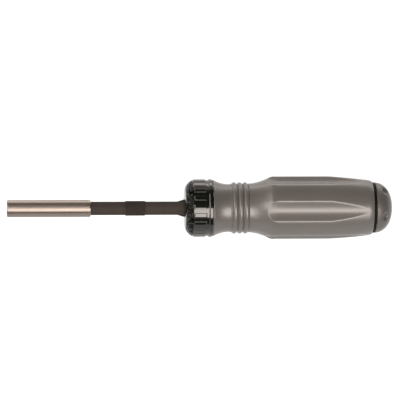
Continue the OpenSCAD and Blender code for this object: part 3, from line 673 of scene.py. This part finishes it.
def turned_metal(name, light, dark, roughness, line_mm, line_depth, anisotropic=0.0):
    """A metal with fine lines round the axis: their spacing and depth are in mm."""
    material, shader, place = new_finish(name)
    squeeze = (1 / (line_mm * MM), 1 / (LINE_LEN_MM * MM), 1 / (LINE_LEN_MM * MM))
    squeezed = add_node(material, "ShaderNodeMapping", {"Scale": squeeze}, {"Vector": place})
    lines = add_node(material, "ShaderNodeTexNoise", {"Scale": 1.0, "Detail": 3.0},
                     {"Vector": squeezed.outputs["Vector"]}).outputs["Fac"]
    join(material, between(material, lines, dark, light), shader.inputs["Base Color"])
    join(material, spread(material, lines, roughness - UNEVENNESS, roughness + UNEVENNESS),
         shader.inputs["Roughness"])
    bump(material, shader, lines, strength=0.3, depth_mm=line_depth)
    shader.inputs["Metallic"].default_value = 1.0
    if anisotropic:
        round_axis = add_node(material, "ShaderNodeTangent", {"direction_type": "RADIAL", "axis": "X"})
        join(material, round_axis.outputs["Tangent"], shader.inputs["Tangent"])
        shader.inputs["Anisotropic"].default_value = anisotropic
        shader.inputs["Anisotropic Rotation"].default_value = QUARTER_TURN
    return material


stainless = turned_metal("brushed_stainless_sleeve", "#918982", "#807871", 0.5, 0.15, 0.004, 0.92)
spring_steel = turned_metal("drawn_spring_steel", "#8d8780", "#6f6963", 0.3, 0.3, 0.004)
hardened = turned_metal("hardened_gear_steel", "#837c74", "#6c665f", 0.32, 0.2, 0.004)
ground_steel = turned_metal("ground_bright_steel", "#c4c2bd", "#aeaca7", 0.15, 0.1, 0.002)
nickel = turned_metal("nickel_plated_magnet", "#c9c6bd", "#b3b0a8", 0.12, 0.6, 0.002)
bronze = turned_metal("sintered_bronze", "#b08d57", "#94713f", 0.5, 0.25, 0.01)
casting = turned_metal("zinc_die_casting", "#9c9993", "#85827d", 0.48, 0.9, 0.02)
print("metals:", [m.name for m in (stainless, spring_steel, hardened, ground_steel, nickel, bronze, casting)])

# %% [markdown]
# Shank: steel with a black oxide finish, a thin dark layer that is neither paint nor bare metal. It is a
# dark brownish coat with hardly any shine. The finger band is painted darker, as painted shade of its knurl's
# grooves.

# %% black oxide
# The finger band's painted shade: how much darker it makes the colour, and where it starts, is full and
# fades, in mm.
BLOTCH_MM, KNURL_SHADE_SHARE, KNURL_SHADE_BEFORE, KNURL_SHADE_FULL, KNURL_SHADE_FADE = 3, 0.6, 2.0, 1.0, 0.5


def black_oxide():
    material, shader, place = new_finish("black_oxide_steel")
    cloud = noise(material, place, BLOTCH_MM, detail=4.0)
    # The finger band's colour is painted darker here: painted shade for the knurl's grooves.
    painted_knurl_shade = times(material, along(material, place, BAND_START - KNURL_SHADE_BEFORE, BAND_START + KNURL_SHADE_FULL),
                  along(material, place, BAND_END, BAND_END - KNURL_SHADE_FADE))
    tone = add_node(material, "ShaderNodeMath", {"operation": "MULTIPLY_ADD", 1: -KNURL_SHADE_SHARE},
                    {0: painted_knurl_shade, 2: spread(material, cloud, 0.6, 1.0)})
    join(material, between(material, tone.outputs["Value"], "#1d1916", "#2b2623"),
         shader.inputs["Base Color"])
    join(material, spread(material, cloud, 0.7, 0.8), shader.inputs["Roughness"])
    bump(material, shader, cloud, strength=0.3, depth_mm=0.01)
    shader.inputs["IOR"].default_value = 1.4
    shader.inputs["Specular IOR Level"].default_value = 0.15
    return material


oxide = black_oxide()
print("shank:", oxide.name)

# %% [markdown]
# Rubber rings: moulded nitrile rubber, black through and through and wiped with a little oil. The
# photograph shows the seal nearly matt, so its shine is kept low.

# %% sealing rubber
def sealing_rubber():
    material, shader, place = new_finish("oiled_nitrile_rubber")
    cloud = noise(material, place, size_mm=1.5, detail=2.0)
    join(material, between(material, cloud, "#050604", "#0b0c09"), shader.inputs["Base Color"])
    join(material, spread(material, cloud, 0.5, 0.6), shader.inputs["Roughness"])
    bump(material, shader, cloud, strength=0.2, depth_mm=0.01)
    shader.inputs["IOR"].default_value = 1.45
    shader.inputs["Specular IOR Level"].default_value = 0.08
    return material


rubber = sealing_rubber()
print("rubber:", rubber.name)

# %% [markdown]
# Every node of the construction model gets its finish, also those inside, because they show when the tool
# is taken apart. The four new pieces get theirs in the same way.

# %% give every piece and node its finish
FINISHES = {
    "bit_holder": stainless, "bit_clip": spring_steel, "bit_magnet": nickel, "shank": oxide,
    "ratchet_gear": hardened, "thrust_washer": bronze, "ratchet_housing": casting,
    "front_bush": bronze, "bush_circlip": spring_steel, "rear_bush": bronze,
    "rocker_pawl": hardened, "pawl_pin": ground_steel, "selector_ring": ring_plastic,
    "ring_clip": spring_steel, "pawl_plunger": ground_steel, "pawl_spring": spring_steel,
    "detent_ball": ground_steel, "detent_spring": spring_steel, "handle_core": core_plastic,
    "grip_sleeve": grip_plastic, "housing_screw": oxide, "screw_washer": ground_steel,
    "end_cap": cap_plastic, "cap_plug": core_plastic, "plug_ring": rubber, "seal_ring": rubber}


def give(piece, material):
    piece.data.materials.clear()
    piece.data.materials.append(material)


for node, material in FINISHES.items():
    give(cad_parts[node], material)
for piece, material in ((grip, grip_plastic), (ring, ring_plastic), (shank, oxide), (cap, cap_plastic)):
    give(piece, material)
print("finished nodes:", len(FINISHES))

# %% [markdown]
# ## The floor
#
# The tool lies on a light table: a pale opal sheet that is lit from below. Its own light fills the shadow,
# so the tool stands free on white. The tool's lowest point touches it. The table ends near the tool on the
# camera's side and beyond the bit end, because more light from there would grey the black ring.

# %% lay the floor
TABLE_LEFT, TABLE_RIGHT, TABLE_FRONT, TABLE_BACK = -0.06, 1.6, -0.16, 1.6
TABLE_GLOW, HAZE_SCALE = 0.98, 8.0

floor_z = min((piece.matrix_world @ vertex.co).z for piece in (grip, ring) for vertex in piece.data.vertices)
nothing_selected()
bpy.ops.mesh.primitive_plane_add(
    size=1, location=((TABLE_LEFT + TABLE_RIGHT) / 2, (TABLE_FRONT + TABLE_BACK) / 2, floor_z))
floor = bpy.context.object
floor.name = "light_table"
floor.scale = (TABLE_RIGHT - TABLE_LEFT, TABLE_BACK - TABLE_FRONT, 1)
bpy.ops.object.transform_apply(location=True, rotation=True, scale=True)
opal, opal_shader, opal_place = new_finish("opal_sheet_lit_from_below")
haze = add_node(opal, "ShaderNodeTexNoise", {"Scale": HAZE_SCALE, "Detail": 2.0},
                {"Vector": opal_place}).outputs["Fac"]
join(opal, between(opal, haze, "#6c6b6a", "#716f6e"), opal_shader.inputs["Base Color"])
join(opal, between(opal, haze, "#fbfbfb", "#ffffff"), opal_shader.inputs["Emission Color"])
opal_shader.inputs["Emission Strength"].default_value = TABLE_GLOW
opal_shader.inputs["Roughness"].default_value = 0.9
opal_shader.inputs["Specular IOR Level"].default_value = 0.1
give(floor, opal)
print("floor at", round(floor_z / MM, 2), "mm")

# %% [markdown]
# ## Light
#
# Every round part mirrors the room, so the highlights in the photograph tell where its lamps stood. The key
# box stands on the camera's side and lower than the camera, so the long highlight falls a little below the
# middle of the tool. A low white card far behind draws the bright lines along the upper edges, and a dim
# card above it lets that light fade out upwards. Two lamps stand far beyond the bit end: a side box lights
# the slopes that face that way, and a large card is there for the brushed holder, which stretches its
# reflection along the tool. The room itself is nearly dark, which keeps the ring black.

# %% place the lights
WARM = (1.0, 0.91, 0.85)
ROOM_LIGHT = 0.08


def soft_box(name, angle, distance, width, height, power, x, aim_x=None):
    """A warm rectangular lamp beside the tool: metres and watts, its place and aim along the axis in mm."""
    place = around(angle, distance / MM, x)
    bpy.ops.object.light_add(type="AREA", location=place)
    lamp = bpy.context.object
    lamp.name = name
    lamp.data.shape = "RECTANGLE"
    lamp.data.size = width
    lamp.data.size_y = height
    lamp.data.energy = power
    lamp.data.color = WARM
    aim = Vector(((x if aim_x is None else aim_x) * MM, 0, 0))
    back = (place - aim).normalized()
    up = back.cross(Vector((1, 0, 0))).normalized()
    turn_to(lamp, up.cross(back), up, back)


soft_box("key_box", angle=-131.0, distance=0.55, width=0.5, height=0.38, power=7.6, x=235.0)
soft_box("back_card", angle=98.0, distance=1.5, width=3.0, height=0.45, power=20.0, x=115.0)
soft_box("upper_card", angle=118.5, distance=1.5, width=3.0, height=0.61, power=4.5, x=115.0)
soft_box("side_box", angle=-162.0, distance=1.1, width=0.4, height=0.55, power=9.0, x=-875.0, aim_x=130.0)
soft_box("left_card", angle=180.0, distance=0.5, width=1.2, height=1.4, power=20.0, x=-1000.0, aim_x=60.0)
room = bpy.data.worlds.new("room")
bpy.context.scene.world = room
room.use_nodes = True
room.node_tree.nodes["Background"].inputs["Color"].default_value = (1, 1, 1, 1)
room.node_tree.nodes["Background"].inputs["Strength"].default_value = ROOM_LIGHT
bpy.context.scene.view_settings.view_transform = "Standard"
